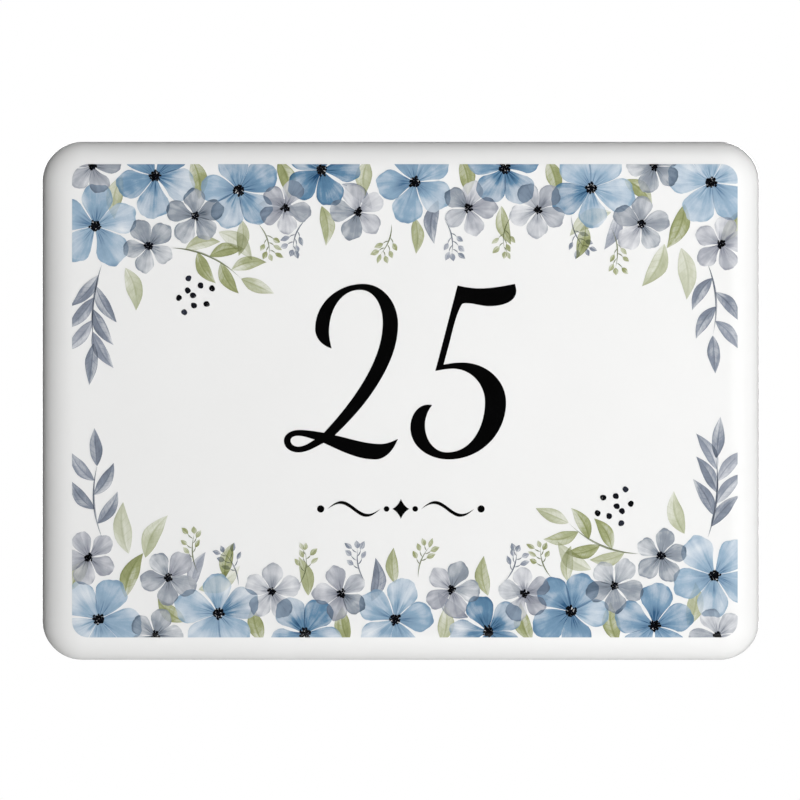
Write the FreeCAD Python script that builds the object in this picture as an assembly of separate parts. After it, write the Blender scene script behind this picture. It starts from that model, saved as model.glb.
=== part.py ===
import FreeCAD, Part
import math
import os

from FreeCAD import Vector

os.makedirs("parts", exist_ok=True)

# House number plaque: one pressed steel plate, enamelled white, with a printed face.
# All sizes are millimetres. The face looks along -Y, +Z is up, and the wall is the plane y = 0.

# Pressed plate
PLATE_WIDTH = 180.0
PLATE_HEIGHT = 130.0
PLATE_DEPTH = 8.0
SHEET = 1.2             # steel and the enamel on both its sides
CORNER_RADIUS = 10.0    # corners seen from the front
ROLL_RADIUS = 5.0       # bend from the face into the flange

# Printed field on the flat of the face
PRINT_THICKNESS = 0.1
FIELD_CLEAR_ENDS = 1.6      # from the field to the ends of the flat
FIELD_CLEAR_TOP = 0.7       # from the field to the top and foot of the flat
FIELD_CLEAR_CORNER = 1.0    # the field's corners are rounded this much less than the flat's
FIELD_SHIFT = 1.0           # the print lies this far right of the middle
SMALLEST_FIELD = 0.3        # scraps of colour with a smaller area are left out

# Numerals, both standing on one line
NUMERAL_HEIGHT = 44.0
NUMERAL_BASE_Z = -14.7
NUMERAL_GAP = 3.1
NUMERALS_X = -0.2           # middle of the pair

# Flourish under the numerals: a lozenge, and on both sides a dot, a waved stroke and a dot
FLOURISH_LENGTH = 42.0
FLOURISH_Z = -27.1
LOZENGE_WIDTH = 4.2
LOZENGE_HEIGHT = 5.0
STROKE_GAP = 0.8            # clear between the flourish's pieces
STROKE_WIDTH = 1.0
STROKE_WAVE = 1.6           # height of each swing
STROKE_STRETCHES = 12       # straight stretches along a stroke
INNER_DOT_RADIUS = 0.7
OUTER_DOT_RADIUS = 0.9

# Blossoms, leaves and berries
PETALS = 5
PETAL_SIDES = 4             # straight stretches round the edge of a petal
NOTCH_SHARE = 0.64          # radius of the notch between two petals, as a share of the blossom's
LEAF_SHOULDERS = [(0.28, 0.85), (0.64, 0.82)]   # share of a leaf's length, share of its half width
DOT_SIDES = 5
BLUE_EYE_RADIUS = 1.4
GREY_EYE_RADIUS = 1.0
BERRY_RADIUS = 0.75
STEM_WIDTH = 0.7

# The garland is drawn along the top of the field, and turned half round for the foot.
# A place is (along, depth): along in percent of the half width from the middle of the field,
# and depth in millimetres down from its top edge. Directions are degrees, 0 to the right, 90 up.

# along, depth, radius, turn
BLUE_BLOSSOMS = [
    (-93, 15.5, 11.0, 14),
    (-75, 3.0, 10.4, 52),
    (-50, 6.5, 10.2, 30),
    (-25, 1.5, 9.8, 5),
    (3, 4.5, 10.4, 40),
    (30, 1.0, 9.8, 20),
    (56, 6.0, 10.8, 58),
    (92, 4.5, 11.0, 26),
]
GREY_BLOSSOMS = [
    (-94, 0.5, 7.2, 8),
    (-77, 20.5, 7.0, 44),
    (-63, 13.0, 7.4, 20),
    (-36, 11.0, 7.2, 62),
    (-14, 12.0, 7.4, 30),
    (19, 11.0, 7.2, 0),
    (40, 11.5, 7.4, 50),
    (71, 15.0, 7.4, 12),
    (75, 0.5, 7.0, 35),
    (95, 20.0, 7.2, 5),
]

# along, depth, length, width, direction, bend as a share of the length
GREEN_LEAVES = [
    (-64, -1.0, 10, 4.4, -80, 0.10),
    (-85, 3.0, 11, 4.2, -100, -0.10),
    (-38, -1.0, 10, 4.2, -75, 0.10),
    (-49, 14.0, 9, 3.2, -95, 0.08),
    (-25, 10.5, 10, 3.6, -84, 0.10),
    (-11, -1.0, 9, 4.2, -95, -0.10),
    (3, 13.5, 9, 3.2, -88, 0.06),
    (17, -1.0, 9, 4.0, -80, 0.08),
    (29, 10.5, 10, 3.4, -76, -0.08),
    (43, -1.0, 9, 4.0, -75, 0.06),
    (54, 15.0, 9, 3.4, -104, 0.10),
    (66, 4.0, 9, 4.0, -40, 0.10),
    (84, 10.0, 12, 4.4, -112, 0.10),
    (100, 12.0, 9, 4.0, -120, 0.10),
]
SAGE_LEAVES = [
    (62, 12.0, 12, 4.4, -150, -0.12),
    (78, 20.0, 12, 4.4, -118, 0.10),
    (83, 21.0, 13, 4.6, -84, 0.08),
    (-84, 26.0, 11, 4.2, -76, 0.10),
    (-56, 17.0, 11, 4.2, -40, 0.12),
]
SLATE_LEAVES = [
    (-44, 10.0, 11, 3.8, -20, 0.14),
    (-19, 5.0, 10, 3.4, -40, 0.12),
    (10, 9.0, 11, 3.6, -95, -0.12),
    (64, 12.0, 10, 3.4, -110, 0.10),
]

# along, depth, direction, length of the stem, its bend, leaf length, leaf width
GREEN_SPRIG = (-70, 21.0, -24, 19, 0.10, 9.0, 3.4)
GREEN_SPRIG_LEAVES = 6
LEFT_SLATE_SPRIG = (-91, 25.0, -96, 20, -0.06, 10.5, 3.2)
LEFT_SLATE_SPRIG_LEAVES = 7
RIGHT_SLATE_SPRIG = (91, 25.0, -86, 18, 0.08, 9.5, 3.2)
RIGHT_SLATE_SPRIG_LEAVES = 5
LEAF_LEAN = 36              # angle between a sprig's leaves and its stem

# Berries, scattered as seeds are in a seed head, on the lower side of the green sprig's base
BERRIES = 9
BERRY_SPACING = 1.8         # distance from the middle grows with this times a berry's square root
BERRY_TURN = 137.5          # angle from one berry to the next
BERRIES_DIRECTION = -66     # of their middle from the base of the sprig
BERRIES_DISTANCE = 13.0


# Flat shapes on the face

flat_width = PLATE_WIDTH - 2 * ROLL_RADIUS
flat_height = PLATE_HEIGHT - 2 * ROLL_RADIUS
field_width = flat_width - 2 * FIELD_CLEAR_ENDS
field_height = flat_height - 2 * FIELD_CLEAR_TOP
field_corner = CORNER_RADIUS - ROLL_RADIUS - FIELD_CLEAR_CORNER
forward = Vector(0, -PRINT_THICKNESS, 0)


def on_face(x, z):
    """Point on the front of the face."""
    return Vector(x, -PLATE_DEPTH, z)


def toward(point, degrees, distance):
    """Point at a distance from another, in a direction in the plane of the face."""
    angle = math.radians(degrees)
    return point + Vector(math.cos(angle), 0, math.sin(angle)) * distance


def in_garland(along, depth):
    """Point of the upper garland."""
    return on_face(FIELD_SHIFT + along / 100 * field_width / 2, field_height / 2 - depth)


def bow(bend, share):
    """Sideways place of a bent line, as a share of its length."""
    return 4 * bend * share * (1 - share)


def flat_shape(edges):
    return Part.Face(Part.Wire(edges))


def rounded_field(width, height, corner):
    """Rectangle with round corners, in the middle of the printed field."""
    half_x = width / 2 - corner
    half_z = height / 2 - corner
    middles = [(half_x, half_z), (-half_x, half_z), (-half_x, -half_z), (half_x, -half_z)]
    arcs = []
    for quarter, (x, z) in enumerate(middles):
        middle = on_face(FIELD_SHIFT + x, z)
        start, crown, end = [toward(middle, 90 * quarter + turn, corner) for turn in (0, 45, 90)]
        arcs.append((start, crown, end))
    edges = []
    for arc, following in zip(arcs, arcs[1:] + arcs[:1]):
        edges.append(Part.Arc(*arc).toShape())
        edges.append(Part.LineSegment(arc[2], following[0]).toShape())
    return flat_shape(edges)


def polygon(points):
    return flat_shape(Part.makePolygon(points + points[:1]).Edges)


def blossom(middle, radius, turn):
    """Open flower from the front, its edge swinging out once for each petal."""
    points = []
    for stretch in range(PETALS * PETAL_SIDES):
        angle = 360 * (stretch / PETAL_SIDES - 0.5) / PETALS
        swell = math.sqrt(abs(math.cos(math.radians(PETALS * angle / 2))))
        points.append(toward(middle, turn + angle, radius * (NOTCH_SHARE + (1 - NOTCH_SHARE) * swell)))
    return polygon(points)


def dot(middle, radius, turn=0):
    return polygon([toward(middle, turn + 360 / DOT_SIDES * side, radius) for side in range(DOT_SIDES)])


def leaf(base, length, width, direction, bend):
    """Pointed leaf, curved sideways by its bend."""
    left, right = [], []
    for share, fullness in LEAF_SHOULDERS:
        rib = toward(toward(base, direction, share * length), direction + 90, bow(bend, share) * length)
        left.append(toward(rib, direction + 90, fullness * width / 2))
        right.append(toward(rib, direction - 90, fullness * width / 2))
    return polygon([base] + left + [toward(base, direction, length)] + right[::-1])


def sprig(count, along, depth, direction, length, bend, leaf_length, leaf_width):
    """Curved stem with a leaf at its end and others by turns on its two sides."""
    base = in_garland(along, depth)
    shapes = [leaf(base, length, STEM_WIDTH, direction, bend)]
    for place in range(count):
        share = 1 - place / count
        foot = toward(toward(base, direction, share * length), direction + 90, bow(bend, share) * length)
        side = 0 if place == 0 else (1 if place % 2 else -1)
        shapes.append(leaf(foot, leaf_length, leaf_width, direction + side * LEAF_LEAN, side * bend))
    return shapes


def sprig_berries():
    along, depth = GREEN_SPRIG[:2]
    middle = toward(in_garland(along, depth), BERRIES_DIRECTION, BERRIES_DISTANCE)
    places = [(BERRY_TURN * berry, BERRY_SPACING * math.sqrt(berry)) for berry in range(BERRIES)]
    return [dot(toward(middle, direction, out), BERRY_RADIUS) for direction, out in places]


# Outlines of the numerals, as a pen draws them. A node is (x, z, direction), and at a corner it is
# (x, z, direction of arrival, direction of leaving), with x and z in percent of the height from the
# left end of the line that the numeral stands on.

NUMERAL_2 = [
    (45.1, 100.0, 0),
    (65.0, 77.0, -90),
    (50.6, 38.5, -124),
    (29.0, 13.8, -136, -12),
    (55.0, 8.8, 0),
    (65.0, 11.8, 27, -112),
    (51.9, 0.0, 180),
    (22.6, 9.4, 156, -154),
    (8.1, 4.0, 180),
    (0.0, 10.6, 90),
    (8.7, 16.8, 0),
    (22.8, 15.2, -9, 47),
    (45.1, 44.0, 59),
    (56.3, 78.1, 90),
    (43.3, 96.6, 180),
    (25.7, 72.7, -90),
    (27.2, 63.2, -76, 164),
    (17.8, 74.4, 90),
]
NUMERAL_2_LOOP = [
    (17.6, 11.3, 31, 165),
    (7.8, 13.5, 180),
    (3.8, 10.8, -90),
    (8.1, 7.3, 0),
]
NUMERAL_5 = [
    (26.9, 99.1, 75, -13),
    (39.5, 97.4, 0),
    (59.6, 100.0, 11, -80),
    (60.3, 96.2, -90),
    (44.7, 87.3, 180),
    (32.1, 89.0, 180),
    (29.1, 88.0, -118),
    (22.0, 65.5, -105),
    (18.9, 54.0, -105, 11),
    (29.6, 55.2, 0),
    (54.5, 32.4, -90),
    (21.8, 0.0, 180),
    (0.0, 18.0, 90),
    (10.1, 31.2, 0),
    (12.4, 30.9, -12, -130),
    (8.3, 19.3, -90),
    (21.0, 4.0, 0),
    (42.5, 32.7, 90),
    (24.2, 51.7, 180),
    (14.2, 50.4, -169, 75),
]


def handle_share(near, far):
    """Length of a curve's handle as a share of its chord, from the curve's angles to it."""
    flare = (math.sin(near) - math.sin(far) / 16) * (math.sin(far) - math.sin(near) / 16)
    fullness = 2 + math.sqrt(2) * flare * (math.cos(near) - math.cos(far))
    golden = (math.sqrt(5) - 1) / 2
    return fullness / (3 * (1 + golden * math.cos(near) + (1 - golden) * math.cos(far)))


def pen_curve(start, leaving, end, arriving):
    """Smooth edge between two points in the given directions, as a pen would draw it."""
    run = end - start
    chord = math.degrees(math.atan2(run.z, run.x))
    near = math.radians((leaving - chord + 180) % 360 - 180)
    far = math.radians((chord - arriving + 180) % 360 - 180)
    first = toward(start, leaving, handle_share(near, far) * run.Length)
    second = toward(end, arriving + 180, handle_share(far, near) * run.Length)
    curve = Part.BezierCurve()
    curve.setPoles([start, first, second, end])
    return curve.toShape()


def pen_shape(nodes, left, base, unit):
    """Closed shape drawn through nodes that are given in a unit from a starting point."""
    edges = []
    for node, following in zip(nodes, nodes[1:] + nodes[:1]):
        start = on_face(left + node[0] * unit, base + node[1] * unit)
        end = on_face(left + following[0] * unit, base + following[1] * unit)
        edges.append(pen_curve(start, node[-1], end, following[2]))
    return flat_shape(edges)


def numerals():
    """The 2 and the 5, side by side about their middle."""
    unit = NUMERAL_HEIGHT / 100
    width_2, width_5 = [unit * max(node[0] for node in outline) for outline in (NUMERAL_2, NUMERAL_5)]
    left = NUMERALS_X - (width_2 + NUMERAL_GAP + width_5) / 2
    loop = pen_shape(NUMERAL_2_LOOP, left, NUMERAL_BASE_Z, unit)
    two = pen_shape(NUMERAL_2, left, NUMERAL_BASE_Z, unit).cut(loop)
    five = pen_shape(NUMERAL_5, left + width_2 + NUMERAL_GAP, NUMERAL_BASE_Z, unit)
    return two.Faces + [five]


def turned(shape, middle, degrees):
    """Copy of a shape turned in the plane of the face."""
    copy = shape.copy()
    copy.rotate(middle, Vector(0, -1, 0), degrees)
    return copy


def waved_stroke(start, end):
    """Stroke between two points at one height, swinging up and then down, pointed at both ends."""
    upper, lower = [], []
    for stretch in range(1, STROKE_STRETCHES):
        share = stretch / STROKE_STRETCHES
        rib = start + (end - start) * share
        swing = STROKE_WAVE * math.sin(2 * math.pi * share)
        half = STROKE_WIDTH / 2 * math.sin(math.pi * share)
        upper.append(toward(rib, 90, swing + half))
        lower.append(toward(rib, 90, swing - half))
    return polygon([start] + upper + [end] + lower[::-1])


def flourish():
    middle = on_face(0, FLOURISH_Z)
    reaches = [LOZENGE_WIDTH / 2, LOZENGE_HEIGHT / 2] * 2
    lozenge = polygon([toward(middle, 90 * side, reach) for side, reach in enumerate(reaches)])
    inner_dot = LOZENGE_WIDTH / 2 + STROKE_GAP + INNER_DOT_RADIUS
    outer_dot = FLOURISH_LENGTH / 2 - OUTER_DOT_RADIUS
    stroke_start = inner_dot + INNER_DOT_RADIUS + STROKE_GAP
    stroke_end = outer_dot - OUTER_DOT_RADIUS - STROKE_GAP
    right = [
        dot(toward(middle, 0, inner_dot), INNER_DOT_RADIUS),
        waved_stroke(toward(middle, 0, stroke_start), toward(middle, 0, stroke_end)),
        dot(toward(middle, 0, outer_dot), OUTER_DOT_RADIUS),
    ]
    return [lozenge] + right + [turned(shape, middle, 180) for shape in right]


# Garland, its colours listed from the uppermost to the lowest

def blossoms(places):
    return [blossom(in_garland(along, depth), radius, turn) for along, depth, radius, turn in places]


def eyes(places, radius):
    return [dot(in_garland(along, depth), radius, turn) for along, depth, _, turn in places]


def leaves(places):
    return [leaf(in_garland(along, depth), *form) for along, depth, *form in places]


green_sprig = sprig(GREEN_SPRIG_LEAVES, *GREEN_SPRIG)
slate_sprigs = (sprig(LEFT_SLATE_SPRIG_LEAVES, *LEFT_SLATE_SPRIG)
                + sprig(RIGHT_SLATE_SPRIG_LEAVES, *RIGHT_SLATE_SPRIG))
garland = {
    "grey_blossoms": blossoms(GREY_BLOSSOMS),
    "blue_blossoms": blossoms(BLUE_BLOSSOMS),
    "berries": sprig_berries(),
    "green_leaves": leaves(GREEN_LEAVES) + green_sprig,
    "slate_leaves": leaves(SLATE_LEAVES) + slate_sprigs,
    "sage_leaves": leaves(SAGE_LEAVES),
}


def seen_beside(shape, uppers):
    """What of a flat shape is left beside the shapes that lie over it."""
    near = [upper for upper in uppers if upper.BoundBox.intersect(shape.BoundBox)]
    return shape.cut(near) if near else shape


def in_both_bands(shapes):
    """Shapes of the upper garland and of the lower one, clipped to the printed field."""
    middle = on_face(FIELD_SHIFT, 0)
    window = rounded_field(field_width, field_height, field_corner)
    return [shape.common(window) for shape in shapes + [turned(shape, middle, 180) for shape in shapes]]


def garland_fields(uppers):
    """Fields of each colour, none over another or over the shapes above the garland."""
    painted = list(uppers)
    fields = {}
    for colour, shapes in garland.items():
        fields[colour] = []
        for shape in in_both_bands(shapes):
            seen = seen_beside(shape, painted)
            fields[colour] += [face for face in seen.Faces if face.Area > SMALLEST_FIELD]
            painted.append(shape)
    return fields


def eye_fields():
    """Eyes of all blossoms, printed over their petals."""
    spots = eyes(BLUE_BLOSSOMS, BLUE_EYE_RADIUS) + eyes(GREY_BLOSSOMS, GREY_EYE_RADIUS)
    raised = []
    for spot in in_both_bands(spots):
        spot.translate(forward)
        raised += spot.Faces
    return raised


# Plate

def rolled_block(width, height, depth, corner, roll):
    """Block from the wall plane forward, its corners round and its front edge rolled."""
    block = Part.makeBox(width, depth, height, Vector(-width / 2, -depth, -height / 2))
    upright = [edge for edge in block.Edges if edge.BoundBox.YLength > depth / 2]
    block = block.makeFillet(corner, upright)
    front = [edge for edge in block.Edges if edge.BoundBox.YMax < -depth / 2]
    return block.makeFillet(roll, front)


def pressed_plate():
    """Tray of even thickness, open to the wall."""
    outside = rolled_block(PLATE_WIDTH, PLATE_HEIGHT, PLATE_DEPTH, CORNER_RADIUS, ROLL_RADIUS)
    inside = rolled_block(PLATE_WIDTH - 2 * SHEET, PLATE_HEIGHT - 2 * SHEET, PLATE_DEPTH - SHEET,
                          CORNER_RADIUS - SHEET, ROLL_RADIUS - SHEET)
    return outside.cut(inside)


def write_node(name, shape):
    shape.exportStep("parts/" + name + ".step")


def write_print(name, faces):
    """Flat shapes thickened forward into thin solids."""
    write_node(name, Part.makeCompound([face.extrude(forward) for face in faces]))


write_node("plate", pressed_plate())
lettering = numerals()
ornament = flourish()
write_print("numerals", lettering)
write_print("flourish", ornament)
for colour, faces in garland_fields(lettering + ornament).items():
    write_print(colour, faces)
write_print("blossom_eyes", eye_fields())
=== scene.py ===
import math
import random

import bmesh
import bpy
from mathutils import Matrix, Vector
from mathutils.geometry import delaunay_2d_cdt, interpolate_bezier


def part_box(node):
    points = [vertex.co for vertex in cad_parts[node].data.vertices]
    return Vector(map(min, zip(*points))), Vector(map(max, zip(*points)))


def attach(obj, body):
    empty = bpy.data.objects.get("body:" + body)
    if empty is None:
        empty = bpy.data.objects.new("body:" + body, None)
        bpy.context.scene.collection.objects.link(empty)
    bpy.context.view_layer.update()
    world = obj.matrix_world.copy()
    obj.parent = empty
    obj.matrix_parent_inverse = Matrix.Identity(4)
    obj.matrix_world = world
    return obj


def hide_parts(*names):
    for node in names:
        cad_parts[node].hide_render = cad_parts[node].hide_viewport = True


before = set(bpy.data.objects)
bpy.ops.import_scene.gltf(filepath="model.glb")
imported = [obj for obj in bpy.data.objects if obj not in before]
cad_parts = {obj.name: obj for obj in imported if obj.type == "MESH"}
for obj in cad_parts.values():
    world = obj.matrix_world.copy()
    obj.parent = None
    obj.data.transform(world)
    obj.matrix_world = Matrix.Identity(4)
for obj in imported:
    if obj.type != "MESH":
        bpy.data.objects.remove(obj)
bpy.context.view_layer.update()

# House number plaque: a pressed steel plate, enamelled white, with a printed face.
# The face looks along -Y, +Z is up, and the wall is the plane y = 0. Blender's unit is the metre,
# and the print is drawn flat, in millimetres, as points (x, z) on the face.

MM = 0.001

# Plate
plate_low, plate_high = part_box("plate")
plate_width, plate_depth, plate_height = (plate_high - plate_low) / MM
SHEET = 1.2
CORNER_RADIUS = 10.0
CORNER_SEGMENTS = 32
ROLL_WIDTH = 8.0            # the face bends back over this width, in a quarter of an ellipse
ROLL_DEPTH = 5.0            # and meets the flange this far behind the flat
ROLL_SEGMENTS = 32
LEVEL_TOLERANCE = 0.05
RIM_RADIUS = 0.45           # bead of enamel along the edge at the wall
RIM_SEGMENTS = 4
FLAT_MARGIN = 0.4           # strip of the face beside the bend, which takes up the change of slope
FLAT_NORMAL = 0.999         # least part of a level face's normal that points straight up or down

# Printed field
PRINT_THICKNESS = 0.08
FIELD_MARGIN_ENDS = 6.6     # from the edge of the plate to the field's ends
FIELD_MARGIN_TOP = 5.7
FIELD_CORNER = 4.0
FIELD_SHIFT = 1.0
CORNER_POINTS = 12          # on a round corner of the field
BEND_RINGS = 7              # lines round the plate at which the print bends with the face
SMALLEST_SPAN = 1e-5        # points of the print closer than this are one
SHARPEST_BEND = math.radians(40)    # faces that meet at a larger angle are shaded apart

field_width = plate_width - 2 * FIELD_MARGIN_ENDS
field_height = plate_height - 2 * FIELD_MARGIN_TOP
field_middle = Vector((FIELD_SHIFT, 0))

# Numerals
NUMERAL_HEIGHT = 44.0
NUMERAL_BASE_Z = -14.7
NUMERAL_GAP = 3.1
NUMERALS_X = -0.2
CURVE_POINTS = 20           # points along each stretch of a numeral's outline

# Flourish
FLOURISH_LENGTH = 42.0
FLOURISH_Z = -27.1
LOZENGE_WIDTH = 4.2
LOZENGE_HEIGHT = 5.0
LOZENGE_PINCH = 0.3         # how far its sides curve in
LOZENGE_POINTS = 8          # along each side
STROKE_GAP = 0.8
STROKE_WIDTH = 1.0
STROKE_WAVE = 1.6
STROKE_POINTS = 48
INNER_DOT_RADIUS = 0.7
OUTER_DOT_RADIUS = 0.9
DOT_POINTS = 28

# Blossoms
PETALS = 5
NOTCH_SHARE = 0.60          # radius of the notch between two petals, as a share of the blossom's
PETAL_GAP = (0.04, 0.7)     # least and most bare enamel between two petals, at the notch
FOOT_GAP = 0.3              # the gap at the petals' feet, as a share of the one at the notch
PETAL_SWAY = 0.25           # how far a petal's side may bow
PETAL_FOOT = 0.12           # where a petal starts, as a share of the radius
PETAL_TURN = (-3, 3)        # degrees off its even place round the eye
PETAL_REACH = (0.91, 1.03)  # as a share of the blossom's radius
PETAL_FULLNESS = (0.42, 0.66)   # the less, the squarer the tip
PETAL_SPREAD = (-2.0, 2.5)  # degrees over its even half width
SAME_TONE_SHARE = 0.7       # petals that keep the tone of their blossom
PETAL_SIDE_POINTS = 7
PETAL_RIM_POINTS = 28
PETAL_WAVES = [(2, 0.020), (3, 0.014), (7, 0.006)]  # waves round the rim, height as a share of the radius
BLUE_EYE_RADIUS = 1.4
GREY_EYE_RADIUS = 1.0
SPECK_AREA = 0.19           # square millimetres of eye to each speck
SPECK_RADIUS = (0.20, 0.38)
SPECK_SPREAD = (0.8, 1.12)  # as a share of its even distance from the middle
SPECK_TURN = (-14, 14)      # degrees off its even direction
SPECK_RAGGEDNESS = 0.3
SPECK_POINTS = 9
GOLDEN_TURN = 137.5

# Leaves and berries
LEAF_POINTS = 16            # along each side
LEAF_LEAD = 0.87            # under 1, a leaf is broadest before its middle
LEAF_WAVES = (2, 5)         # waves along each side
LEAF_RAGGEDNESS = 0.10
VEINS = 7
VEIN_SLANT = 0.9
BLOT_WAVES = (2, 3, 4)      # waves round a berry or a speck
BERRY_RADIUS = 0.75
BERRY_RAGGEDNESS = 0.12
BERRY_POINTS = 20
STEM_WIDTH = 0.5

# A place in the garland is (along, depth): along in percent of the half width from the middle of
# the field, and depth down from its top edge. Directions are degrees, 0 to the right, 90 up.

# along, depth, radius, turn
BLUE_BLOSSOMS = [
    (-93, 15.5, 11.0, 14),
    (-75, 3.0, 10.4, 52),
    (-50, 6.5, 10.2, 30),
    (-25, 1.5, 9.8, 5),
    (3, 4.5, 10.4, 40),
    (30, 1.0, 9.8, 20),
    (56, 6.0, 10.8, 58),
    (92, 4.5, 11.0, 26),
]
GREY_BLOSSOMS = [
    (-94, 0.5, 7.2, 8),
    (-77, 20.5, 7.0, 44),
    (-63, 13.0, 7.4, 20),
    (-36, 11.0, 7.2, 62),
    (-14, 12.0, 7.4, 30),
    (19, 11.0, 7.2, 0),
    (40, 11.5, 7.4, 50),
    (71, 15.0, 7.4, 12),
    (75, 0.5, 7.0, 35),
    (95, 20.0, 7.2, 5),
]

# along, depth, length, width, direction, bend as a share of the length
GREEN_LEAVES = [
    (-64, -1.0, 10, 4.4, -80, 0.10),
    (-85, 3.0, 11, 4.2, -100, -0.10),
    (-38, -1.0, 10, 4.2, -75, 0.10),
    (-49, 14.0, 9, 3.2, -95, 0.08),
    (-25, 10.5, 10, 3.6, -84, 0.10),
    (-11, -1.0, 9, 4.2, -95, -0.10),
    (3, 13.5, 9, 3.2, -88, 0.06),
    (17, -1.0, 9, 4.0, -80, 0.08),
    (29, 10.5, 10, 3.4, -76, -0.08),
    (43, -1.0, 9, 4.0, -75, 0.06),
    (54, 15.0, 9, 3.4, -104, 0.10),
    (66, 4.0, 9, 4.0, -40, 0.10),
    (84, 10.0, 12, 4.4, -112, 0.10),
    (100, 12.0, 9, 4.0, -120, 0.10),
]
SAGE_LEAVES = [
    (62, 12.0, 12, 4.4, -150, -0.12),
    (78, 20.0, 12, 4.4, -118, 0.10),
    (83, 21.0, 13, 4.6, -84, 0.08),
    (-84, 26.0, 11, 4.2, -76, 0.10),
    (-56, 17.0, 11, 4.2, -40, 0.12),
]
SLATE_LEAVES = [
    (-44, 10.0, 11, 3.8, -20, 0.14),
    (-19, 5.0, 10, 3.4, -40, 0.12),
    (10, 9.0, 11, 3.6, -95, -0.12),
    (64, 12.0, 10, 3.4, -110, 0.10),
]

# along, depth, direction, length, bend
OLIVE_TWIGS = [
    (-44, 15.0, -70, 8.0, 0.10),
    (-4, 15.0, -110, 8.0, 0.10),
    (32, 13.0, -100, 9.0, -0.12),
    (62, 16.0, -84, 10.0, 0.10),
]
SLATE_TWIGS = [
    (-30, 14.0, -112, 8.0, -0.10),
    (12, 14.0, -78, 8.5, 0.10),
    (50, 13.0, -66, 9.0, -0.10),
]
TWIG_WIDTH = 0.32
TWIG_BUDS = 6
TWIG_BUDDED = 0.7           # share of a twig's length that bears buds
STALK_LENGTH = (1.4, 2.2)
STALK_WIDTH = 0.8 * TWIG_WIDTH
STALK_BEND = 0.1
BUD_LEAN = (34, 50)         # degrees between a stalk and its twig
BUD_LENGTH = (1.9, 2.6)
BUD_WIDTH = (1.0, 1.4)
BUD_FOOT = 0.9              # share of a stalk at which its bud begins

# along, depth, direction, length of the stem, its bend, leaf length, leaf width
GREEN_SPRIG = (-70, 21.0, -24, 19, 0.10, 9.0, 3.4)
GREEN_SPRIG_LEAVES = 6
LEFT_SLATE_SPRIG = (-91, 25.0, -96, 20, -0.06, 10.5, 3.2)
LEFT_SLATE_SPRIG_LEAVES = 7
RIGHT_SLATE_SPRIG = (91, 25.0, -86, 18, 0.08, 9.5, 3.2)
RIGHT_SLATE_SPRIG_LEAVES = 5
LEAF_LEAN = 36

BERRIES = 9
BERRY_SPACING = 1.8
BERRIES_DIRECTION = -66
BERRIES_DISTANCE = 13.0

# Outlines of the numerals, as a pen draws them. A node is (x, z, direction), and at a corner it is
# (x, z, direction of arrival, direction of leaving), with x and z in percent of the height.
NUMERAL_2 = [
    (45.1, 100.0, 0),
    (65.0, 77.0, -90),
    (50.6, 38.5, -124),
    (29.0, 13.8, -136, -12),
    (55.0, 8.8, 0),
    (65.0, 11.8, 27, -112),
    (51.9, 0.0, 180),
    (22.6, 9.4, 156, -154),
    (8.1, 4.0, 180),
    (0.0, 10.6, 90),
    (8.7, 16.8, 0),
    (22.8, 15.2, -9, 47),
    (45.1, 44.0, 59),
    (56.3, 78.1, 90),
    (43.3, 96.6, 180),
    (25.7, 72.7, -90),
    (27.2, 63.2, -76, 164),
    (17.8, 74.4, 90),
]
NUMERAL_2_LOOP = [
    (17.6, 11.3, 31, 165),
    (7.8, 13.5, 180),
    (3.8, 10.8, -90),
    (8.1, 7.3, 0),
]
NUMERAL_5 = [
    (26.9, 99.1, 75, -13),
    (39.5, 97.4, 0),
    (59.6, 100.0, 11, -80),
    (60.3, 96.2, -90),
    (44.7, 87.3, 180),
    (32.1, 89.0, 180),
    (29.1, 88.0, -118),
    (22.0, 65.5, -105),
    (18.9, 54.0, -105, 11),
    (29.6, 55.2, 0),
    (54.5, 32.4, -90),
    (21.8, 0.0, 180),
    (0.0, 18.0, 90),
    (10.1, 31.2, 0),
    (12.4, 30.9, -12, -130),
    (8.3, 19.3, -90),
    (21.0, 4.0, 0),
    (42.5, 32.7, 90),
    (24.2, 51.7, 180),
    (14.2, 50.4, -169, 75),
]

chance = random.Random(25)


def colour(code):
    """Linear colour of a six-digit sRGB code."""
    parts = [int(code[place:place + 2], 16) / 255 for place in (0, 2, 4)]
    linear = [part / 12.92 if part <= 0.04045 else ((part + 0.055) / 1.055) ** 2.4 for part in parts]
    return (*linear, 1.0)


WHITE = (1.0, 1.0, 1.0, 1.0)

# Pigments. Each brush mark takes one of its kind's tones.
BLUE_TONES = [colour("8da9c0"), colour("7899b4"), colour("9ab3c8"), colour("6288a6")]
GREY_TONES = [colour("9fa5ae"), colour("aaadb6"), colour("949ca6"), colour("adb1b9")]
GREEN_TONES = [colour("acb18b"), colour("b9bd9f"), colour("9ea476")]
SAGE_TONES = [colour("c1c5aa"), colour("cacdb8")]
SLATE_TONES = [colour("959ca9"), colour("a5aab5"), colour("878f9d")]
BERRY_TONES = [colour("0c0d12"), colour("1a1b23"), colour("343743")]
INK = colour("050506")
SPECK_TONES = [colour("06070b"), colour("0a0c13"), colour("141a28")]
OLIVE_STEM = colour("7d8465")
SLATE_STEM = colour("6c7482")

# Enamel
ENAMEL_WHITE = colour("f1f1f0")
ENAMEL_ROUGHNESS = 0.09
PRINT_ROUGHNESS = 0.09
GROUND_COAT = colour("bcbfc1")
GROUND_COAT_THIN = colour("adb1b4")
GROUND_SPECK = colour("3b3f44")
WAVE_SIZE = 7.0             # long waves in the fired surface, millimetres
WAVE_HEIGHT = 0.006
SKIN_SIZE = 0.9             # finer skin over the waves
SKIN_SHARE = 0.12           # its height as a share of theirs
# sizes of the clouds and of the grain in each layer, millimetres
ENAMEL_CLOUD = 22.0
INK_CLOUD = 9.0
WASH_CLOUD = 3.5
PAINT_GRAIN = 0.22
GROUND_CLOUD = 9.0
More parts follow.
